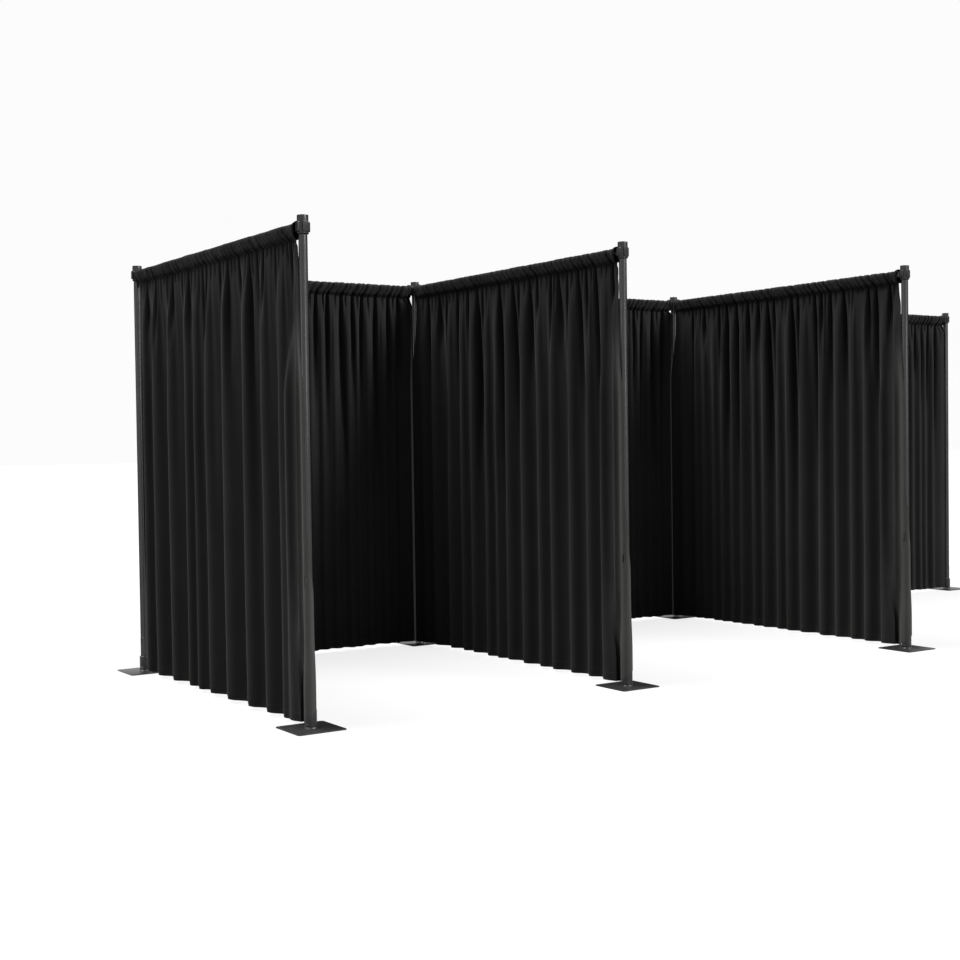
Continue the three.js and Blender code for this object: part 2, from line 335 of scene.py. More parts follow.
def makeClothMaterial():
    material, tree, shader = startMaterial("blackDrape", cloth["roughness"], 0)
    nodes, links = tree.nodes, tree.links
    shader.inputs["Sheen Weight"].default_value = cloth["sheen"]
    shader.inputs["Sheen Roughness"].default_value = cloth["sheenRoughness"]
    shader.inputs["Sheen Tint"].default_value = (1, 1, 1, 1)
    shader.inputs["Specular IOR Level"].default_value = 0.0
    uv = nodes.new("ShaderNodeUVMap")
    uv.uv_map = "cloth"
    place = uv.outputs[0]
    parts = nodes.new("ShaderNodeSeparateXYZ")
    links.new(place, parts.inputs[0])
    along, up = parts.outputs["X"], parts.outputs["Y"]
    weave = placeGroup(nodes, weaveGroup, Threads=cloth["threadsPerMetre"], Slub=0.5)
    links.new(place, weave.inputs["Vector"])
    hem = placeGroup(nodes, stitchGroup, Row=cloth["hemStitch"])
    links.new(along, hem.inputs["Along"])
    links.new(up, hem.inputs["Across"])
    side = placeGroup(nodes, stitchGroup, Row=cloth["sideStitch"])
    links.new(up, side.inputs["Along"])
    links.new(readMark(tree, "edgeDistance"), side.inputs["Across"])
    stitches = addMath(tree, "MAXIMUM", hem.outputs["Mask"], side.outputs["Mask"])
    shade = total(tree, product(tree, weave.outputs["Shade"], 0.8), addNoise(tree, place, 2.3, 5.0, 0.6))
    colour = mixColours(tree, shade, cloth["deep"], cloth["colour"])
    # the front edge's turned lining, lighter, graded across the strip as a painted highlight
    colour = mixColours(tree, readMark(tree, "liningAndHighlightShare"), colour, cloth["liningAndHighlight"])
    # painted shade down in the creases and gaps
    colour = mixColours(tree, readMark(tree, "creaseShadeShare"), colour, cloth["creaseAndShade"])
    colour = mixColours(tree, stitches, colour, cloth["thread"])
    links.new(colour, shader.inputs["Base Color"])
    # the doubled hem, the weave, a slight rumple and the stitches
    height = product(tree, addMath(tree, "LESS_THAN", up, cloth["hemStitch"]), 1.2)
    height = total(tree, product(tree, weave.outputs["Height"], 0.35), height)
    height = total(tree, height, product(tree, addNoise(tree, place, 14.0, 6.0, 0.55), 3.0))
    height = total(tree, height, product(tree, stitches, 1.5))
    addBump(tree, shader, height, 0.0005, 0.8)
    return material


def makeMetalMaterial(name, colour, worn, roughness, metallic, grain, marks, amount, edgeTint):
    material, tree, shader = startMaterial(name, roughness, metallic)
    links = tree.links
    place = tree.nodes.new("ShaderNodeTexCoord")
    scuffs = placeGroup(tree.nodes, scuffGroup, Grain=grain, Marks=marks, Amount=amount)
    links.new(place.outputs["Object"], scuffs.inputs["Vector"])
    shade = total(tree, product(tree, scuffs.outputs["Shade"], 0.9), 0.5)
    tone = mixColours(tree, shade, tuple(0.8 * c for c in colour), tuple(1.2 * c for c in colour))
    links.new(mixColours(tree, scuffs.outputs["Wear"], tone, (worn,) * 3), shader.inputs["Base Color"])
    rough = total(tree, product(tree, scuffs.outputs["Shade"], 0.10), roughness)
    links.new(rough, shader.inputs["Roughness"])
    shader.inputs["Specular Tint"].default_value = (edgeTint, edgeTint, edgeTint, 1)
    addBump(tree, shader, scuffs.outputs["Height"], 0.000004, 0.4)
    return material


# The material's name, its colour, the grey of worn spots, roughness, metallic, grain and marks
# per metre, how much is worn, and the tint of its rims
metals = {
    "base_paint": ("basePaint", (0.035, 0.035, 0.036), 0.16, 0.42, 0.75, 700.0, 26.0, 0.5, 1.0),
    "upright_tube": ("uprightTube", (0.058, 0.058, 0.059), 0.080, 0.27, 0.95, 1100.0, 12.0, 0.2, 0.12),
    "head_paint": ("headPaint", (0.046, 0.046, 0.047), 0.10, 0.30, 0.9, 900.0, 30.0, 0.35, 0.15),
    "bar_tube": ("barTube", (0.052, 0.052, 0.053), 0.11, 0.28, 0.95, 1100.0, 14.0, 0.3, 0.3),
    "bare_tube": ("bareTube", (0.52, 0.52, 0.53), 0.38, 0.30, 1.0, 1200.0, 16.0, 0.4, 1.0),
    "hook_steel": ("hookSteel", (0.07, 0.07, 0.072), 0.20, 0.32, 0.95, 900.0, 40.0, 0.6, 1.0),
    "guide_plastic": ("guidePlastic", (0.018, 0.018, 0.018), 0.05, 0.55, 0.0, 500.0, 30.0, 0.2, 1.0),
}
materials = {"drape_cloth": makeClothMaterial()}
for slot, values in metals.items():
    materials[slot] = makeMetalMaterial(*values)
print("stage: materials")

# Helpers for modelling


def editMode():
    bpy.ops.object.mode_set(mode="EDIT")


def objectMode():
    bpy.ops.object.mode_set(mode="OBJECT")


def deselectAll():
    bpy.ops.object.select_all(action="DESELECT")


def selectOnly(*pieces):
    deselectAll()
    for piece in pieces:
        piece.select_set(True)
    bpy.context.view_layer.objects.active = pieces[0]


def applyPlace(piece):
    selectOnly(piece)
    bpy.ops.object.transform_apply(location=True, rotation=True, scale=True)


def applyModifier(piece, kind, **settings):
    modifier = piece.modifiers.new("shape", kind)
    for name, value in settings.items():
        setattr(modifier, name, value)
    bpy.context.view_layer.objects.active = piece
    bpy.ops.object.modifier_apply(modifier=modifier.name)


def bevelEdges(piece, width, segments, angle=30):
    limit = math.radians(angle)
    applyModifier(piece, "BEVEL", width=width, segments=segments, limit_method="ANGLE", angle_limit=limit)


def smoothSides(piece, angle=38):
    selectOnly(piece)
    bpy.ops.object.shade_smooth_by_angle(angle=math.radians(angle))


def bevelPicked(piece, picks, width, segments):
    # bevels the edges that the test picks by their two ends
    editMode()
    bpy.ops.mesh.select_mode(type="EDGE")
    bpy.ops.mesh.select_all(action="DESELECT")
    objectMode()
    for edge in piece.data.edges:
        edge.select = picks(*(piece.data.vertices[i].co for i in edge.vertices))
    editMode()
    bpy.ops.mesh.bevel(offset=width, segments=segments, affect="EDGES")
    objectMode()


def addCube(place, size):
    deselectAll()
    bpy.ops.mesh.primitive_cube_add(size=1, location=place, scale=size)
    piece = bpy.context.object
    applyPlace(piece)
    return piece


def startVertices():
    editMode()
    bpy.ops.mesh.select_mode(type="VERT")
    bpy.ops.mesh.select_all(action="SELECT")


def extrudeBy(x, z):
    bpy.ops.mesh.extrude_region_move(TRANSFORM_OT_translate={"value": (x, 0, z)})


def closeShell():
    bpy.ops.mesh.select_all(action="SELECT")
    bpy.ops.mesh.remove_doubles(threshold=0.00001)
    bpy.ops.mesh.normals_make_consistent(inside=False)
    objectMode()


def turnedPiece(rings, sides, filled=False):
    # a form turned about +Z: a circle that is extruded and resized from ring to ring
    deselectAll()
    radius, height = rings[0]
    fill = "NGON" if filled else "NOTHING"
    bpy.ops.mesh.primitive_circle_add(
        vertices=sides, radius=radius, fill_type=fill, location=(0, 0, height))
    piece = bpy.context.object
    startVertices()
    for nextRadius, nextHeight in rings[1:]:
        extrudeBy(0, nextHeight - height)
        grow = nextRadius / radius
        bpy.ops.transform.resize(value=(grow, grow, 1), center_override=(0, 0, nextHeight))
        radius, height = nextRadius, nextHeight
    closeShell()
    applyPlace(piece)
    return piece


def joinPieces(pieces):
    selectOnly(*pieces)
    bpy.ops.object.join()
    smoothSides(pieces[0])
    return pieces[0]


def copyPiece(master, name, place, turn=0.0):
    # the place goes into the copy's own mesh
    piece = bpy.data.objects.new(name, master.data.copy())
    piece.data.name = name
    piece.data.transform(Matrix.Translation(Vector(place)) @ Matrix.Rotation(turn, 4, "Z"))
    scene.collection.objects.link(piece)
    return piece


def dress(piece, node, body, slot):
    if not piece.data.materials:
        piece.data.materials.append(materials[slot])
    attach(piece, body)
    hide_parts(node)


def dropMaster(piece):
    bpy.data.objects.remove(piece, do_unlink=True)


def middle(node):
    low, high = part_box(node)
    return [(a + b) / 2 for a, b in zip(low, high)]


# Uprights: base, tube and slotted head
base = {
    "side": 0.290,
    "thickness": 0.006,
    "corner": 0.018,
    "edge": 0.0012,
    "socketRadius": 0.03295,
    "boreRadius": 0.02445,
    "socketTop": 0.104,
    "socketFloor": 0.011,
    "chamfer": 0.002,
    "beadWidth": 0.003,
    "beadHeight": 0.005,
    "grooveHeight": 0.030,
    "grooveDepth": 0.0009,
    "grooveMouth": 0.0016,      # half its width, at the skin and at its floor
    "grooveFloor": 0.0007,
    "screwInset": 0.021,
    "screwRadius": 0.0062,
    "screwRise": 0.0016,
    "sides": 64,
    "screwSides": 20,
}
upright = {
    "radius": 0.02415,
    "wall": 0.0025,
    "foot": 0.0113,
    "top": 2.7347,
    "sleeveFoot": 0.1045,
    "sleeveTop": 0.232,
    "sleeveThickness": 0.0008,
    "sleeveGap": 0.0001,
    "edge": 0.0006,
    "sides": 64,
}
head = {
    "radius": 0.03095,
    "bore": 0.02445,
    "height": 0.100,
    "roof": 0.005,
    "chamfer": 0.0025,
    "lipWidth": 0.0012,
    "lipHeight": 0.006,
    "loopDrop": 0.034,
    "loopHeight": 0.056,
    "loopWidth": 0.0318,
    "loopCorner": 0.007,
    "loopThickness": 0.0016,
    "loopRoot": 0.006,          # how far it reaches into the sleeve
    "loopEdge": 0.0014,
    "pocketGap": 0.0044,
    "pocketWidth": 0.027,
    "sides": 64,
}


def modelBase(spec):
    side, top, chamfer = spec["side"], spec["thickness"], spec["chamfer"]
    plate = addCube((0, 0, top / 2), (side, side, top))
    bevelPicked(plate, lambda one, other: abs(one.z - other.z) > top / 2, spec["corner"], 8)
    bevelEdges(plate, spec["edge"], 2)
    radius, bore, mouth = spec["socketRadius"], spec["boreRadius"], spec["socketTop"]
    wide, high = spec["beadWidth"], spec["beadHeight"]
    groove, cut = spec["grooveHeight"], spec["grooveDepth"]
    socket = turnedPiece([
        (radius + wide, top - 0.002),
        (radius + wide, top + 0.0004),
        (radius + 0.75 * wide, top + 0.4 * high),
        (radius + 0.3 * wide, top + 0.8 * high),
        (radius, top + high),
        (radius, groove - spec["grooveMouth"]),
        (radius - cut, groove - spec["grooveFloor"]),
        (radius - cut, groove + spec["grooveFloor"]),
        (radius, groove + spec["grooveMouth"]),
        (radius, mouth - chamfer),
        (radius - chamfer, mouth),
        (bore, mouth),
        (bore, spec["socketFloor"]),
    ], spec["sides"], True)
    place = side / 2 - spec["screwInset"]
    wide, high = spec["screwRadius"], spec["screwRise"]
    screw = turnedPiece([
        (wide, top - 0.001),
        (wide, top + 0.4 * high),
        (0.72 * wide, top + high),
        (0.42 * wide, top + high),
        (0.38 * wide, top + 0.2 * high),
    ], spec["screwSides"], True)
    screw.data.materials.append(materials["hook_steel"])
    screws = [copyPiece(screw, "screw", (a * place, b * place, 0)) for a in (-1, 1) for b in (-1, 1)]
    dropMaster(screw)
    for piece in (plate, socket):
        piece.data.materials.append(materials["base_paint"])
    return joinPieces([plate, socket, *screws])


def tubeRings(inner, outer, foot, top):
    return [(inner, foot), (outer, foot), (outer, top), (inner, top), (inner, foot)]


def modelUpright(spec):
    outer = spec["radius"]
    tube = turnedPiece(tubeRings(outer - spec["wall"], outer, spec["foot"], spec["top"]), spec["sides"])
    bevelEdges(tube, spec["edge"], 2)
    inner, skin = outer + spec["sleeveGap"], outer + spec["sleeveThickness"]
    rings = tubeRings(inner, skin, spec["sleeveFoot"], spec["sleeveTop"])
    rings[2] = (skin, spec["sleeveTop"] - 0.0008)     # its top slopes inwards
    sleeve = turnedPiece(rings, spec["sides"])
    return joinPieces([tube, sleeve])


def modelLoop(spec):
    # the pressed loop that faces +X
    pocketFace = spec["radius"] + spec["pocketGap"]
    face, root = pocketFace + spec["loopThickness"], spec["radius"] - spec["loopRoot"]
    height = -spec["loopDrop"] - spec["loopHeight"] / 2
    loop = addCube(((root + face) / 2, 0, height), (face - root, spec["loopWidth"], spec["loopHeight"]))
    bevelPicked(loop, lambda one, other: abs(one.x - other.x) > 0.001, spec["loopCorner"], 6)
    bevelPicked(loop, lambda one, other: min(one.x, other.x) > face - 0.0001, spec["loopEdge"], 3)
    opening = (pocketFace, spec["pocketWidth"], spec["loopHeight"] + 0.004)
    cutter = addCube((pocketFace / 2, 0, height), opening)
    applyModifier(loop, "BOOLEAN", operation="DIFFERENCE", solver="EXACT", object=cutter)
    dropMaster(cutter)
    return loop


def modelHead(spec):
    radius, bore, foot, chamfer = spec["radius"], spec["bore"], -spec["height"], spec["chamfer"]
    lip, lipTop = radius + spec["lipWidth"], foot + spec["lipHeight"]
    sleeve = turnedPiece([
        (bore, -spec["roof"]),
        (bore, foot),
        (lip - 0.0006, foot),
        (lip, foot + 0.0006),
        (lip, lipTop - 0.0006),
        (lip - 0.0006, lipTop),
        (radius, lipTop + 0.0005),
        (radius, -chamfer),
        (radius - 0.3 * chamfer, -0.3 * chamfer),
        (radius - chamfer, 0),
        (radius - 2.2 * chamfer, 0),
        (radius - 2.5 * chamfer, -0.0006),
    ], spec["sides"], True)
    loop = modelLoop(spec)
    loops = [copyPiece(loop, "loop", (0, 0, 0), side * math.pi / 2) for side in range(4)]
    dropMaster(loop)
    return joinPieces([sleeve, *loops])


standBodies = {f"front_{k}": f"front_stand_{k}" for k in (1, 2, 3)}
standBodies.update({f"rear_{k}": "rear_row" for k in (1, 2, 3, 4)})
standPlaces = {name: middle(f"{name}_upright")[:2] for name in standBodies}
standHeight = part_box("front_1_head")[1][2]

masters = {"base": modelBase(base), "upright": modelUpright(upright), "head": modelHead(head)}
for name, body in standBodies.items():
    x, y = standPlaces[name]
    for part, slot in (("base", "base_paint"), ("upright", "upright_tube"), ("head", "head_paint")):
        height = standHeight if part == "head" else 0
        piece = copyPiece(masters[part], f"{name}_{part}_fine", (x, y, height))
        dress(piece, f"{name}_{part}", body, slot)
for master in masters.values():
    dropMaster(master)
print("stage: uprights")

# Crossbars: two tubes, a bush and two hooks each
bar = {
    "headDrop": 0.057,          # from the top of the heads to the bar's axis
    "setback": 0.062,
    "outerRadius": 0.01905,
    "innerRadius": 0.0159,
    "wall": 0.0016,
    "tubeShare": 0.82,
    "plugLength": 0.040,
    "plugFlange": 0.003,
    "gap": 0.0003,
    "bushLength": 0.040,
    "bushFlange": 0.004,
    "bladeThickness": 0.003,
    "bladeWidth": 0.024,
    "bladeBend": 0.0044,
    "bladeReach": 0.045,
    "bladeTip": 0.003,
    "edge": 0.0004,
    "sides": 48,
}
barHeight = standHeight - bar["headDrop"]


def layAlongX(piece):
    # what was turned about +Z lies along +X, at the height of the bar's axis
    piece.data.transform(Matrix.Rotation(math.pi / 2, 4, "Y"))



def modelTube(spec, radius, length):
    tube = turnedPiece(tubeRings(radius - spec["wall"], radius, 0, length), spec["sides"])
    layAlongX(tube)
    bevelEdges(tube, spec["edge"], 2)
    smoothSides(tube)
    return tube


def modelBush(spec):
    gap, skin = spec["gap"], spec["outerRadius"]
    bore, sleeve = spec["innerRadius"] + gap, skin - spec["wall"] - gap
    foot, top = -spec["bushLength"], spec["bushFlange"]
    bush = turnedPiece([
        (bore, foot), (sleeve, foot), (sleeve, gap), (skin, gap),
        (skin, top - 0.0008), (skin - 0.0008, top), (bore, top), (bore, foot),
    ], spec["sides"])
    layAlongX(bush)
    smoothSides(bush)
    return bush


def modelHook(spec, tubeRadius):
    plugRadius = tubeRadius - spec["wall"] - spec["gap"]
    face = spec["setback"] - spec["gap"]
    flange, plugEnd = face - spec["plugFlange"], face + spec["plugLength"]
    plug = turnedPiece([
        (tubeRadius - 0.0006, flange),
        (tubeRadius, flange + 0.0006),
        (tubeRadius, face),
        (plugRadius, face),
        (plugRadius, plugEnd - 0.002),
        (plugRadius - 0.002, plugEnd),
    ], spec["sides"], True)
    layAlongX(plug)
    # the blade starts as a flat foot on the plug's face, is drawn up, bent over and drawn down
    loopTop = spec["headDrop"] - head["loopDrop"]
    pocketX = head["radius"] + head["pocketGap"] / 2
    bend, thickness, tip = spec["bladeBend"], spec["bladeThickness"], spec["bladeTip"]
    legX = flange - thickness / 2 + 0.001
    bendX = pocketX + bend
    bendZ = loopTop + spec["gap"] - 0.00132
    foot, end = -plugRadius / 2, loopTop - spec["bladeReach"]
    deselectAll()
    bpy.ops.mesh.primitive_plane_add(size=1, location=(legX, 0, foot))
    blade = bpy.context.object
    blade.scale = (thickness, spec["bladeWidth"], 1)
    applyPlace(blade)
    startVertices()
    extrudeBy(0, bendZ - foot)
    bpy.ops.mesh.spin(steps=6, angle=-math.pi / 2, center=(legX - bend, 0, bendZ), axis=(0, 1, 0))
    extrudeBy(bendX - legX + bend, 0)
    bpy.ops.mesh.spin(steps=6, angle=-math.pi / 2, center=(bendX, 0, bendZ), axis=(0, 1, 0))
    extrudeBy(0, end - bendZ + tip)
    extrudeBy(0, -tip)
    bpy.ops.transform.resize(value=(0.6, 0.8, 1), center_override=(pocketX, 0, end))
    closeShell()
    bevelEdges(blade, spec["edge"], 2, 50)
    return joinPieces([plug, blade])


# Each wall starts at one upright and runs along its own +X to the next
wallStarts = {}
for k in (1, 2, 3):
    wallStarts[f"side_{k}"] = (f"rear_{k}", f"front_{k}", "rear", "front")
    wallStarts[f"back_{k}"] = (f"rear_{k}", f"rear_{k + 1}", "left", "right")


hookMasters = [modelHook(bar, bar["outerRadius"]), modelHook(bar, bar["innerRadius"])]
bushMaster = modelBush(bar)
wallFrames = {}
for name, (start, end, startWord, endWord) in wallStarts.items():
    x, y = standPlaces[start]
    span = math.dist(standPlaces[start], standPlaces[end])
    side = name.startswith("side")
    turn = -math.pi / 2 if side else 0.0
    wallFrames[name] = {"x": x, "y": y, "span": span, "turn": turn}
    own = f"front_stand_{name[-1]}" if side else f"back_wall_{name[-1]}"
    held = "rear_row" if side else own
    setback = bar["setback"]
    length = bar["tubeShare"] * (span - 2 * setback)
    tubes = [modelTube(bar, bar[radius], length) for radius in ("outerRadius", "innerRadius")]
    # the master, the piece, how far along the wall it goes, its own turn, its body and slot
    layout = [
        (tubes[0], "outer_tube", setback, 0, held, "bar_tube"),
        (tubes[1], "inner_tube", span - setback - length, 0, own, "bare_tube"),
        (bushMaster, "guide_bush", setback + length, 0, held, "guide_plastic"),
        (hookMasters[0], f"{startWord}_hook", 0, 0, held, "hook_steel"),
        (hookMasters[1], f"{endWord}_hook", span, math.pi, own, "hook_steel"),
    ]
    for master, part, along, ownTurn, body, slot in layout:
        place = Vector((x, y, barHeight)) + Matrix.Rotation(turn, 4, "Z") @ Vector((along, 0, 0))
        piece = copyPiece(master, f"{name}_{part}_fine", place, turn + ownTurn)
        dress(piece, f"{name}_{part}", body, slot)
    for tube in tubes:
        dropMaster(tube)
for master in (*hookMasters, bushMaster):
    dropMaster(master)
print("stage: crossbars")

# Drapes: the hanging cloth and its rod pocket
drape = {
    "seamDrop": 0.0625,       # from the bar's axis to the pocket's seam
    "hem": 0.017,
    "hemWave": 0.006,
    "thickness": 0.0014,
    "fullness": 1.34,         # flat width over hanging width
    "topZone": 0.44,          # the finely meshed part below the seam
    "columnPitch": 0.0037,
    "topRows": 26,
    "lowRows": 38,
    "halves": 2,              # what a broad fold is split into, before the gathers
    "fineRuffle": 0.021,
    "layerSwing": (0.50, 0.30, 0.35),   # of the halves, the gathers and the fine ruffles at the seam
    "gapPitch": 0.052,                # between the narrow gaps of the gathers
    "gapDepth": (0.009, 0.020),
    "gapReach": (0.05, 0.30),         # how far down a gap lasts
    "deepGap": (0.044, 0.45, 1.15),   # of the valleys of the folds: depth and reach
    "gapWidth": (0.0050, 0.0080),     # at the seam, and where it has opened
    "deepWidth": (0.0085, 0.0150),
    "softGap": 0.45,                  # how much of a deep gap the valleys get where no gaps are listed
    # painted shade in the gaps: how dark a narrow gap is painted, what a deep one adds, and the darkest it
    # gets
    "gapShade": (0.50, 0.48),         # how dark a narrow gap is, and what a deep one adds
    "darkestPaintedShade": 0.94,
    "valleyPinch": (0.30, 0.58, 0.35, 0),
    "steepest": 1.35,         # radians that the cloth may turn away from the wall
    "valleyDepth": 1.3,       # how much narrower the valleys are than the crests, near the seam
    "seamDepth": 0.10,        # how deep the broad folds are at the seam
    "sway": (0.003, 0.004),   # how far the folds wander along the wall and out of it
    "swayKnots": 28,
    "edgeReach": 0.250,       # the part of a side drape that follows the front edge's own path
    "edgeTurn": 0.1,          # the height at which the path is measured for the lifted flap
    "flapFeet": (0.034, 0.098),
    "rearReach": 0.13,        # the part that hangs by the rear upright
    "endReach": 0.12,
}

# For each wall: from an upright's axis to the cloth ("start"), the crests of its broad folds from the
# wall's start or their pitch, its deep gaps as (place, reach), the swing of the folds at the seam and at
# the hem, what a half fold is gathered into, how far the pocket's gathers lean, and where its rear or
# right edge hangs, as (along, out), at the head and lower down
walls = {
    "side_1": {
        "start": 0.066, "seed": 4, "swing": (0.62, 1.00), "gathers": (2, 4), "slant": 0.045,
        "rearRest": (0.060, 0.000), "rearSwing": (0.066, 0.000),
        "crests": [0.14, 0.35, 0.62, 0.88, 1.02, 1.21, 1.48, 1.77, 2.01, 2.21],
        "gaps": [(0.20, 0.3), (0.36, 0.45), (0.55, 0.38), (0.65, 0.4), (0.80, 0.6), (0.91, 0.4),
                 (1.13, 0.7), (1.20, 0.4), (1.38, 1.0), (1.51, 0.7), (1.66, 0.5), (1.81, 0.8),
                 (1.91, 0.35), (2.00, 0.35), (2.15, 0.75), (2.34, 0.4)],
    },
    "side_2": {
        "start": 0.046, "seed": 12, "swing": (0.62, 1.02), "gathers": (2, 3), "slant": 0.045,
        "rearRest": (0.050, 0.018), "rearSwing": (0.034, 0.052),
        "crests": [0.14, 0.28, 0.50, 0.66, 0.79, 0.98, 1.10, 1.23, 1.42, 1.61, 1.75, 1.96, 2.14, 2.29],
        "gaps": [(0.20, 0.6), (0.36, 0.35), (0.46, 1.1), (0.60, 0.6), (0.74, 0.4), (0.86, 1.2),
                 (0.93, 0.8), (1.14, 1.2), (1.30, 0.9), (1.37, 0.5), (1.50, 0.6), (1.59, 0.3),
                 (1.74, 0.5), (1.82, 0.5), (1.92, 0.9), (2.03, 0.8), (2.12, 0.5), (2.21, 0.9), (2.38, 0.3)],
    },
    "side_3": {
        "start": 0.046, "seed": 23, "swing": (0.62, 1.04), "gathers": (2, 3), "slant": 0.045,
        "rearRest": (0.050, 0.018), "rearSwing": (0.031, 0.061),
        "crests": [0.14, 0.29, 0.38, 0.50, 0.60, 0.72, 0.83, 0.97, 1.08, 1.24, 1.34, 1.49, 1.70, 1.85,
                   2.00, 2.13, 2.30],
        "gaps": [(0.25, 1.1), (0.39, 0.35), (0.57, 0.5), (0.66, 1.0), (0.77, 1.2), (0.90, 0.5),
                 (1.02, 0.35), (1.12, 1.2), (1.19, 0.7), (1.38, 1.2), (1.45, 0.7), (1.62, 1.1),
                 (1.69, 0.5), (1.78, 0.8), (1.91, 0.7), (2.15, 0.6), (2.22, 0.8), (2.35, 0.35)],
    },
    "back_1": {
        "start": 0.050, "seed": 31, "pitch": 0.098, "swing": (0.86, 1.08), "gathers": (1, 2),
        "slant": -0.040, "endRest": (0.036, 0.022, 0.085),
    },
    "back_2": {
        "start": 0.048, "seed": 47, "pitch": 0.100, "swing": (0.86, 1.08), "gathers": (1, 2),
        "slant": -0.040, "endRest": (0.036, 0.022, 0.030),
    },
    "back_3": {
        "start": 0.052, "seed": 58, "pitch": 0.104, "swing": (0.86, 1.08), "gathers": (1, 2),
        "slant": -0.040, "endRest": (0.036, 0.022, 0.085),
    },
}

# The front edge of a side drape, in plan: (offset to the outside, distance behind the upright's axis),
# at falling heights. It starts beside the upright and ends wrapped round the front of it.
middleEdge = [
    (.040, .250), (.046, .230), (.042, .210), (.029, .192), (.012, .178),
    (-.003, .160), (-.002, .118), (.0205, .083), (.013, .066), (.0085, .052),
    (.014, .030), (.0238, .0122), (.0264, -.004), (.0200, -.0173),
]
frontEdge = [
    (2.56, [
        (.012, .250), (.020, .232), (.010, .214), (.020, .198), (.010, .182),
        (.019, .166), (.010, .150), (.018, .134), (.010, .118), (.017, .103),
        (.011, .092), (.012, .082), (.007, .073), (.003, .064),
    ]),
    (2.36, [
        (.022, .250), (.030, .232), (.032, .212), (.026, .194), (.014, .178),
        (.002, .162), (-.004, .138), (-.004, .108), (.0205, .084), (.0215, .070),
        (.021, .056), (.0205, .042), (.0205, .030), (.021, .0185),
    ]),
    (1.70, middleEdge),
    (1.10, middleEdge),
    (0.86, [
        (.041, .250), (.046, .230), (.042, .210), (.030, .192), (.013, .177),
        (-.001, .158), (-.001, .118), (.0205, .083), (.013, .064), (.0085, .050),
        (.014, .030), (.0240, .0120), (.0232, -.0155), (.003, -.0280),
    ]),
    (0.64, [
        (.046, .250), (.046, .229), (.038, .206), (.024, .184), (.010, .162),
        (.002, .140), (.004, .110), (.0195, .083), (.011, .060), (.014, .032),
        (.0242, .0120), (.0230, -.0165), (.004, -.0290), (-.016, -.0235),
    ]),
    (0.44, [
        (.050, .250), (.045, .226), (.035, .202), (.024, .178), (.015, .154),
        (.012, .130), (.014, .105), (.014, .084), (.008, .064), (.004, .050),
        (.0240, .0120), (.0230, -.0165), (.004, -.0290), (-.016, -.0240),
    ]),
    (0.16, [
        (.052, .250), (.044, .216), (.030, .180), (.017, .145), (.008, .120),
        (.005, .102), (-.012, .108), (-.022, .100), (-.014, .078), (.010, .050),
        (.0315, .0170), (.0305, -.0200), (.005, -.0370), (-.018, -.0320),
    ]),
]


def smoothStep(low, high, value):
    t = np.clip((value - low) / (high - low), 0, 1)
    return t * t * (3 - 2 * t)


def fade(low, high, value):
    return 1 - smoothStep(low, high, value)


def crestList(spec, length):
    if "crests" in spec:
        crests = [c - spec["start"] for c in spec["crests"]]
    else:
        source = random.Random(spec["seed"])
        count = round(length / spec["pitch"])
        crests = [(k + 0.5 + source.uniform(-0.2, 0.2)) * length / count for k in range(count)]
    first, last = crests[1] - crests[0], crests[-1] - crests[-2]
    return [crests[0] - first, *crests, crests[-1] + last, crests[-1] + 2 * last]


def splitCrests(crests, source, low, high, jitter):
    # every fold is split into some smaller ones, of uneven width
    result = []
    for start, end in zip(crests, crests[1:]):
        count = source.randint(low, high)
        for k in range(count):
            shift = source.uniform(-jitter, jitter) if k else 0
            result.append(start + (end - start) * (k + shift) / count)
    return [*result, crests[-1]]


def phaseOf(crests, places, pinch):
    # a turn from crest to crest, slow over the crests and quick through the valleys
    turn = 2 * math.pi * np.interp(places, crests, np.arange(len(crests)))
    return turn - pinch * np.sin(turn)


def slowNoise(source, places, pitch, low, high):
    knots = np.arange(places.min() - pitch, places.max() + 2 * pitch, pitch)
    values = source.uniform(low, high, len(knots))
    return np.interp(places, knots, values)


def blurred(values, width):
    reach = int(3 * width)
    kernel = np.exp(-0.5 * (np.arange(-reach, reach + 1) / width) ** 2)
    kernel /= kernel.sum()
    padded = np.pad(values, reach, mode="reflect", reflect_type="odd")
    return np.convolve(padded, kernel, mode="valid")


def shareOf(points):
    steps = np.r_[0, np.cumsum(np.linalg.norm(np.diff(points, axis=0), axis=1))]
    return steps / steps[-1]


def catmullRom(points, share):
    points = np.array(points)
    steps = shareOf(points)
    index = np.clip(np.searchsorted(steps, share, side="right") - 1, 0, len(points) - 2)
    t = ((share - steps[index]) / (steps[index + 1] - steps[index]))[:, None]
    before, after = points[np.maximum(index - 1, 0)], points[np.minimum(index + 2, len(points) - 1)]
    a, b = points[index], points[index + 1]
    return 0.5 * (2 * a + (b - before) * t + (2 * before - 5 * a + 4 * b - after) * t ** 2
                  + (3 * a - before - 3 * b + after) * t ** 3)


def foldPhases(spec, length, places):
    source = random.Random(spec["seed"] + 1)
    broad = crestList(spec, length)
    half = splitCrests(broad, source, drape["halves"], drape["halves"], 0.16)
    gather = splitCrests(half, source, *spec["gathers"], 0.22)
    low, high = broad[0], broad[-1]
    count = round((high - low) / drape["fineRuffle"])
    ruffle = [low + (high - low) * (k + source.uniform(-0.3, 0.3)) / count for k in range(count + 1)]
    layers = zip((broad, half, gather, ruffle), drape["valleyPinch"])
    return broad, [phaseOf(crests, places, pinch) for crests, pinch in layers]


def runningSum(values):
    return np.r_[0, np.cumsum((values[1:] + values[:-1]) / 2)]


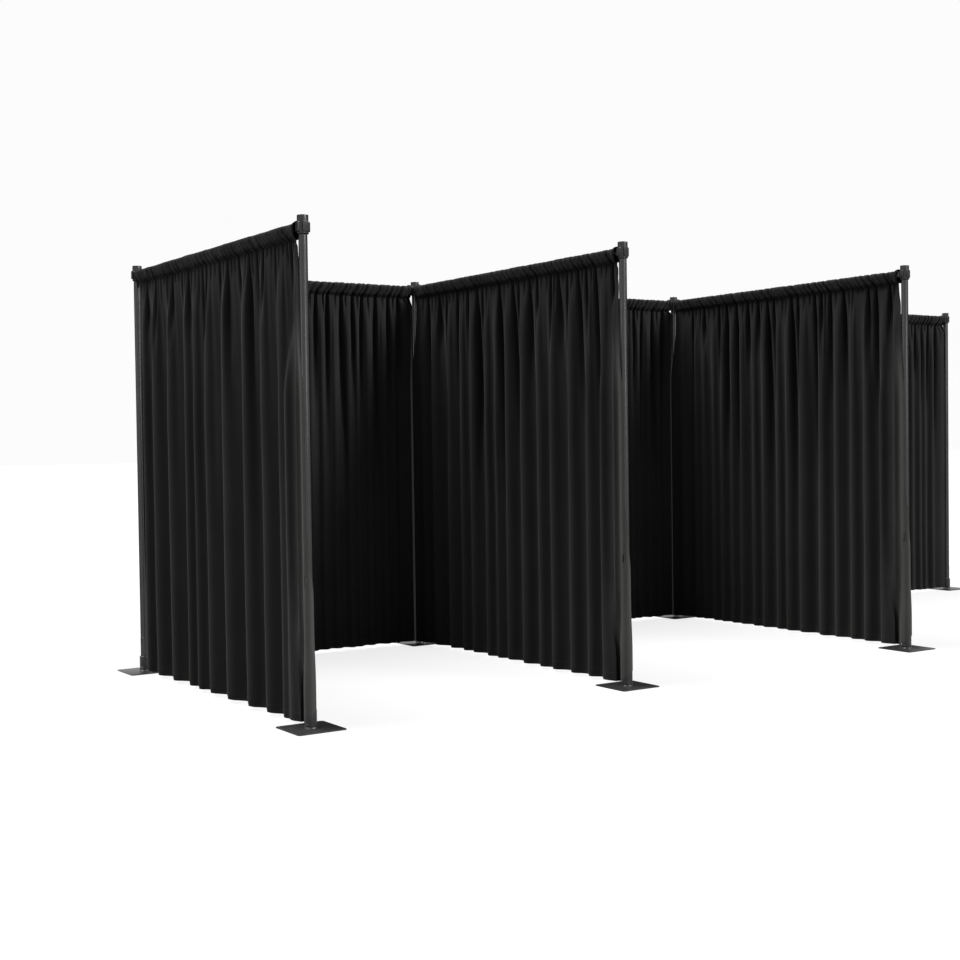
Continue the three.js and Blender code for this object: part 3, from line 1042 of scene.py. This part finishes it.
def foldRow(spec, length, phases, drop, reaches, broad, places):
    # one level line through the cloth: its tangent swings with the folds of every size
    seam, hem = spec["swing"]
    half, gather, ruffle = drape["layerSwing"]
    shares = (
        seam + (hem - seam) * smoothStep(0.10, 1.0, drop),
        half * fade(0.3 * reaches[0], reaches[0], drop) + reaches[2] * smoothStep(0.5, 1.2, drop),
        gather * fade(0.2 * reaches[1], reaches[1], drop),
        ruffle * fade(0.0, 0.05, drop),
    )
    waves = [np.sin(phase) for phase in phases]
    narrow = drape["valleyDepth"] * fade(0.15, 0.9, drop)
    waves[1] = waves[1] * ((1.15 - np.cos(phases[1])) / 1.3) ** narrow
    swing = sum(share * wave for share, wave in zip(shares, waves))
    angle = drape["steepest"] * np.tanh(swing / drape["steepest"])
    step = length / (len(places) - 1) / np.cos(angle).mean()
    x = runningSum(np.cos(angle)) * step
    y = -runningSum(np.sin(angle)) * step
    knots = [0, *(c for c in broad if 0 < c < length), length]
    x = x + np.interp(places, knots, np.array(knots) - np.interp(knots, places, x))
    y = y - blurred(y, len(places) * 0.9 * (broad[2] - broad[1]) / length)
    y = y * (drape["seamDepth"] + (1 - drape["seamDepth"]) * smoothStep(0.0, 0.34, drop))
    return x, y


def gapList(spec, length, broad):
    # the narrow gaps between the gathers: place, depth, reach, drift, and how far it grows into a valley
    source = random.Random(spec["seed"] + 5)
    depth, *reach = drape["deepGap"]
    if "gaps" in spec:
        share = 1.0
        deep = [(place - spec["start"], lasts) for place, lasts in spec["gaps"]]
    else:
        share = drape["softGap"]
        deep = [((a + b) / 2, source.uniform(*reach)) for a, b in zip(broad, broad[1:])]
    gaps = []
    for place, lasts in deep:
        deepness, drift = depth * source.uniform(0.8, 1.1), source.uniform(-0.02, 0.02)
        gaps.append((place, deepness, lasts * 1.35, drift, share))
    edges = [-0.02, *(place for place, _ in deep), length + 0.02]
    for start, end in zip(edges, edges[1:]):
        count = max(1, round((end - start) / drape["gapPitch"]))
        for k in range(1, count):
            place = start + (end - start) * (k + source.uniform(-0.22, 0.22)) / count
            drift = 0.10 * ((start + end) / 2 - place) + source.uniform(-0.02, 0.02)
            deepness, lasts = source.uniform(*drape["gapDepth"]), source.uniform(*drape["gapReach"])
            gaps.append((place, deepness, lasts, drift, 0.0))
    return gaps


def gapDepths(gaps, places, drop):
    # how far the gaps draw the cloth in at one height, and the painted shade down in them
    drawn, paintedShade = np.zeros(len(places)), np.zeros(len(places))
    plain, deeper = drape["gapShade"]
    for place, depth, reach, drift, valley in gaps:
        lasts = fade(0.10 * reach, reach, drop) * (0.7 + 0.3 * smoothStep(0, 0.03, drop))
        if lasts <= 0:
            continue
        narrow, wide = drape["deepWidth"] if valley else drape["gapWidth"]
        width = narrow + (wide - narrow) * smoothStep(0.0, 0.22, drop)
        if valley:
            width *= 0.55 + 0.45 * valley
        apart = np.abs(places - place - drift * drop)
        drawn = np.maximum(drawn, depth * lasts * fade(0.3 * width, 2.1 * width, apart))
        # painted shade, darker in the deep gaps
        shade = (plain + deeper * valley) * lasts ** 0.6
        paintedShade = np.maximum(paintedShade, shade * fade(0.5 * width, 1.9 * width, apart))
    return drawn, drape["darkestPaintedShade"] * paintedShade


def rowHeights():
    # close rows below the seam, wider ones below them, and close ones at the hem
    seam, hem = barHeight - drape["seamDrop"], drape["hem"]
    rows = drape["topRows"]
    shares = [0.25 * (k / rows) + 0.75 * (k / rows) ** 1.9 for k in range(rows + 1)]
    heights = [seam - drape["topZone"] * share for share in shares]
    top, rows = heights[-1], drape["lowRows"]
    heights += [top + (hem + 0.045 - top) * (k / rows) for k in range(1, rows + 1)]
    return [*heights, hem + 0.024, hem + 0.011, hem + 0.003, hem]


def toWorld(wall, along, out, height):
    turn = wall["turn"]
    # outwards is the side that faces the camera: -X on a side wall and -Y on a back wall
    x = wall["x"] + math.cos(turn) * along + math.sin(turn) * out
    y = wall["y"] + math.sin(turn) * along - math.cos(turn) * out
    return np.stack([x, y, np.broadcast_to(height, np.shape(along))], axis=-1)


def gridFaces(first, wide, rows):
    corners = (k + first + row * wide for row in range(rows) for k in range(wide - 1))
    return [(c, c + wide, c + wide + 1, c + 1) for c in corners]


def buildSheet(name, vertices, faces, uvs, marks, thickness):
    mesh = bpy.data.meshes.new(name)
    mesh.from_pydata(np.concatenate(vertices).tolist(), [], faces)
    layer = mesh.uv_layers.new(name="cloth")
    corners = np.empty(len(mesh.loops), dtype=np.int32)
    mesh.loops.foreach_get("vertex_index", corners)
    layer.data.foreach_set("uv", np.concatenate(uvs)[corners].astype(np.float32).ravel())
    for mark, values in marks.items():
        data = mesh.attributes.new(mark, "FLOAT", "POINT").data
        data.foreach_set("value", np.concatenate(values).astype(np.float32))
    piece = bpy.data.objects.new(name, mesh)
    scene.collection.objects.link(piece)
    applyModifier(piece, "SOLIDIFY", thickness=thickness, offset=0)
    smoothSides(piece, 60)
    mesh.materials.append(materials["drape_cloth"])
    return piece


def frontEdgePath(height):
    levels = [level for level, _ in frontEdge][::-1]
    tables = np.array([points for _, points in frontEdge][::-1])
    shares = np.interp(height, levels, np.arange(len(levels)))
    index = min(int(shares), len(levels) - 2)
    t = shares - index
    t = t * t * (3 - 2 * t)
    return tables[index] * (1 - t) + tables[index + 1] * t


def hangSide(spec, wall, height, drop, share, places, x, y, drawn, paintedShade):
    # draws one line of a side drape to the front edge's path and to the rear upright
    path = frontEdgePath(height)
    if height > 2.36:     # beside the head the edge keeps its own distance from the upright
        closer = (0.066 - spec["start"]) * smoothStep(2.36, 2.50, height)
        path[:, 1] -= closer * np.linspace(0, 1, len(path)) ** 2
    points = catmullRom(path, share)
    begin = 0.74 * fade(0.00, 0.85, drop)
    pull = smoothStep(begin, begin + 0.26, share) * smoothStep(0.0, 0.10, drop)
    x = x + pull * (wall["span"] - points[:, 1] - x)
    pleats = drawn * fade(0.20, 0.60, drop) * fade(0.55, 0.80, share)
    y = y + pull * (points[:, 0] - pleats - y)
    # no painted shade where the cloth is drawn to the edge's path, below the head
    paintedShade = paintedShade * (1 - pull * fade(2.3, 2.6, height))
    turned = shareOf(path)
    # a lighter turned lining along the front edge, graded across the strip and faded out above about 2 m:
    # part its own colour, part a painted highlight
    liningAndHighlight = smoothStep(turned[7], turned[11], share) * fade(1.9, 2.3, height)
    # the rear edge hangs beside its upright and swings over it lower down
    swing = fade(2.00, 2.50, height)
    along, out = [a + (b - a) * swing for a, b in zip(spec["rearRest"], spec["rearSwing"])]
    near = fade(0.0, drape["rearReach"], places)
    x = x + near * (along + places * 0.8 - x) * smoothStep(0.0, 0.06, drop)
    y = y + near * (out - y)
    return x, y, liningAndHighlight, paintedShade


def hangBack(spec, wall, length, drop, places, x, y):
    # draws the right end of a back drape to its place beside the upright
    along, out, reach = spec["endRest"]
    near = smoothStep(length - drape["endReach"], length, places) * smoothStep(0.0, reach, drop)
    x = x + near * (wall["span"] - along - x)
    y = y + near * (out - y)
    return x, y


def layDrape(name, spec, wall):
    start, seed, hem = spec["start"], spec["seed"], drape["hem"]
    length = wall["span"] - 2 * start
    side = name.startswith("side")
    lowColumns = round(length / drape["columnPitch"] / 2)
    places = np.linspace(0, length, 2 * lowColumns + 1)
    broad, phases = foldPhases(spec, length, places)
    source = np.random.default_rng(seed)
    reaches = [
        slowNoise(source, places, 0.14, 0.8, 2.1),
        slowNoise(source, places, 0.07, 0.14, 0.62),
        slowNoise(source, places, 0.25, 0.0, 0.30),
    ]
    down = np.linspace(0, 2.7, drape["swayKnots"])
    sway = [slowNoise(source, down, 0.5, -1, 1) for _ in range(6)]
    swayPhase = np.linspace(0, length * 3.1, len(places))
    hemWave = blurred(slowNoise(source, places, 0.12, 0, 1), 8)
    heights = rowHeights()
    seam = heights[0]
    frontStart = length + start - drape["edgeReach"]     # where the edge's own path begins
    share = np.clip((places - frontStart) / (length - frontStart), 0, 1)
    flap = np.full(len(places), hem)
    if side:
        turned = shareOf(frontEdgePath(drape["edgeTurn"]))
        flap = np.interp(share, turned[[9, 10, 13]], (hem, *drape["flapFeet"]))
    foot = flap + drape["hemWave"] * hemWave
    gaps = gapList(spec, length, broad)
    topCount = drape["topRows"] + 1
    flatWidth = length * drape["fullness"]
    vertices, uvs, edges, liningAndHighlights, paintedShades = [], [], [], [], []
    for row, height in enumerate(heights):
        drop = seam - height
        x, y = foldRow(spec, length, phases, drop, reaches, broad, places)
        drawn, paintedShade = gapDepths(gaps, places, drop)
        y = y - drawn + 0.006 * fade(0.3, 0.8, drop)
        y = y * (1 - 0.14 * fade(hem, hem + 0.035, height))
        wander = sum(np.interp(drop, down, s) * np.sin(swayPhase * (0.4 + 0.35 * k) + 1.7 * k)
                     for k, s in enumerate(sway)) / 3
        x = x + drape["sway"][0] * wander * smoothStep(0, 0.5, drop)
        y = y + drape["sway"][1] * wander[::-1] * smoothStep(0, 0.5, drop)
        x = x + start
        liningAndHighlight = np.zeros(len(places))
        if side:
            x, y, liningAndHighlight, paintedShade = hangSide(spec, wall, height, drop, share, places, x, y, drawn, paintedShade)
        else:
            x, y = hangBack(spec, wall, length, drop, places, x, y)
        if row == 0:
            seamLine = (x, y)
        level = foot + (height - hem) * (seam - foot) / (seam - hem)
        x, y, level, liningAndHighlight, paintedShade, place = (
            values[::1 if row < topCount else 2] for values in (x, y, level, liningAndHighlight, paintedShade, places))
        vertices.append(toWorld(wall, x, y, level))
        across = place / length * flatWidth
        uvs.append(np.stack([across, level], axis=-1))
        edges.append(np.minimum(across, flatWidth - across))
        liningAndHighlights.append(liningAndHighlight)
        paintedShades.append(paintedShade)
    wide, narrow = len(places), lowColumns + 1
    lastTop, firstLow = (topCount - 1) * wide, topCount * wide
    faces = gridFaces(0, wide, topCount - 1)
    for k in range(narrow - 1):     # from the close columns to the wide ones
        high, low = lastTop + 2 * k, firstLow + k
        faces.append((high, low, low + 1, high + 2, high + 1))
    faces += gridFaces(firstLow, narrow, len(heights) - topCount - 1)
    marks = {"edgeDistance": edges, "liningAndHighlightShare": liningAndHighlights, "creaseShadeShare": paintedShades}
    piece = buildSheet(f"{name}_drape_cloth", vertices, faces, uvs, marks, drape["thickness"])
    return piece, (flatWidth, seam - hem), seamLine, gaps


# The rod pocket's section, from the seam up the outside and over the bar, as (offset, height)
pocket = {
    "section": [(0.0012, -0.0635), (0.0045, -0.056), (0.0100, -0.044), (0.0162, -0.028),
                (0.0196, -0.010), (0.0200, 0.004), (0.0168, 0.0138), (0.0092, 0.0194), (0.0, 0.0210)],
    "rows": 14,
    "columnPitch": 0.0025,
    "thickness": 0.0010,
    "puff": 0.0215,             # how far the gathers stand out
    "creaseWidth": 0.0080,
    "fullCrease": 0.026,        # a gap of this depth creases the pocket right through
    # the most that the painted shade in the pocket's creases darkens the cloth
    "darkestPaintedShade": 0.9,
    "finePitch": 0.0240,
    "fineDepth": (0.0030, 0.0090),
    "fineWidth": 0.0042,
    "overlap": 0.016,           # how far its ends reach past the drape's over the hooks
    "endGrowth": 0.55,          # how much wider the section is where it covers the hook
    "flatWidth": 0.215,
    "uvStart": 3,               # keeps its part of the pattern clear of the drape's
}


def layPocket(name, spec, wall, seamLine, gaps):
    start, fullness, finePitch = spec["start"], drape["fullness"], pocket["finePitch"]
    length = wall["span"] - 2 * start
    overlap = pocket["overlap"] if start > 0.06 else 0.0
    columns = round(length / pocket["columnPitch"])
    places = np.linspace(-overlap, length + overlap, columns + 1)
    half = pocket["section"]
    seamFoot = half[0][1]
    count = 2 * pocket["rows"]
    shares = np.linspace(0, 1, count + 1)
    section = catmullRom(half + [(-x, z) for x, z in half[-2::-1]], shares)
    tangent = np.gradient(section, axis=0)
    tangent /= np.linalg.norm(tangent, axis=1)[:, None]
    normal = np.stack([tangent[:, 1], -tangent[:, 0]], axis=-1)
    source = np.random.default_rng(spec["seed"] + 7)
    leaning = blurred(slowNoise(source, places, 0.12, 0.6, 1.3), 8)
    wobble = blurred(slowNoise(source, places, 0.06, -0.005, 0.005), 4)
    uneven = blurred(slowNoise(source, places, 0.06, 0.62, 1.15), 5)
    fines = [(k * finePitch + source.uniform(-0.006, 0.006), source.uniform(*pocket["fineDepth"]))
             for k in range(round(length / finePitch) + 8)]
    seamOut = np.interp(places + start, *seamLine)
    nearest = np.minimum(places, length - places) + overlap
    ends = smoothStep(0, 0.012, nearest)
    growth = 1 + pocket["endGrowth"] * fade(0.050, 0.078, nearest - overlap + start)
    vertices, uvs, paintedShades = [], [], []
    for (offset, height), (outwards, upwards), share in zip(section, normal, shares):
        fall = smoothStep(0.016, seamFoot, height)
        moved = places + spec["slant"] * leaning * (1 - fall) + wobble * math.sin(math.pi * fall)
        creaseAndShade = np.zeros(len(places))
        for place, depth, _, _, valley in gaps:
            reach = (0.8 + 0.5 * valley) * pocket["creaseWidth"]
            near = fade(0.2 * reach, 2.2 * reach, np.abs(moved - place))
            creaseAndShade = np.maximum(creaseAndShade, min(depth / pocket["fullCrease"], 1) * near)
        push = pocket["puff"] * uneven * np.clip(1 - creaseAndShade, 0, 1)
        # painted shade in the creases, with more of it down each fine gather
        paintedShade = 1.25 * creaseAndShade - 0.10
        for place, depth in fines:
            fine = np.exp(-np.abs(moved - place + 4 * finePitch) / pocket["fineWidth"])
            push -= depth * fine
            paintedShade += 100 * depth * fine
        push = np.maximum(push, 0)
        pinch = 1 - 0.55 * smoothStep(-0.040, seamFoot, height)
        crown = 0.25 + 0.75 * smoothStep(0.021, 0.002, height)
        push = push * pinch * crown * (0.35 + 0.65 * ends)
        join = smoothStep(-0.026, seamFoot, height)
        out = offset * growth + outwards * push + join * seamOut
        up = height * (1 + (growth - 1) * (1 - join)) + upwards * push
        points = toWorld(wall, places + start, out, 0)
        points[:, 2] = barHeight + up
        vertices.append(points)
        # the painted shade fades out over the crown of the pocket
        paintedShades.append(pocket["darkestPaintedShade"] * np.clip(paintedShade, 0, 1) * smoothStep(0.022, 0.012, height))
        level = np.full(len(places), pocket["uvStart"] + pocket["flatWidth"] * share)
        uvs.append(np.stack([places * fullness, level], axis=-1))
    faces = [(a, d, c, b) for a, b, c, d in gridFaces(0, len(places), count)]
    marks = {"edgeDistance": [nearest * fullness] * (count + 1), "creaseShadeShare": paintedShades}
    piece = buildSheet(f"{name}_rod_pocket", vertices, faces, uvs, marks, pocket["thickness"])
    return piece, ((length + 2 * overlap) * fullness, pocket["flatWidth"])


for name, spec in walls.items():
    wall = wallFrames[name]
    curtain, curtainFlat, seamLine, gaps = layDrape(name, spec, wall)
    tunnel, tunnelFlat = layPocket(name, spec, wall, seamLine, gaps)
    k = name[-1]
    for piece in (curtain, tunnel):
        if name.startswith("side"):
            x, z = wall["x"], 1.3
            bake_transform(piece)
        else:
            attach(piece, f"back_wall_{k}")
    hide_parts(f"{name}_drape")
    tubes = [f"{name}_outer_tube_fine", f"{name}_inner_tube_fine"]
    print(name, "drape", len(curtain.data.polygons), curtainFlat)
    print(name, "pocket", len(tunnel.data.polygons), tunnelFlat)
print("stage: drapes")
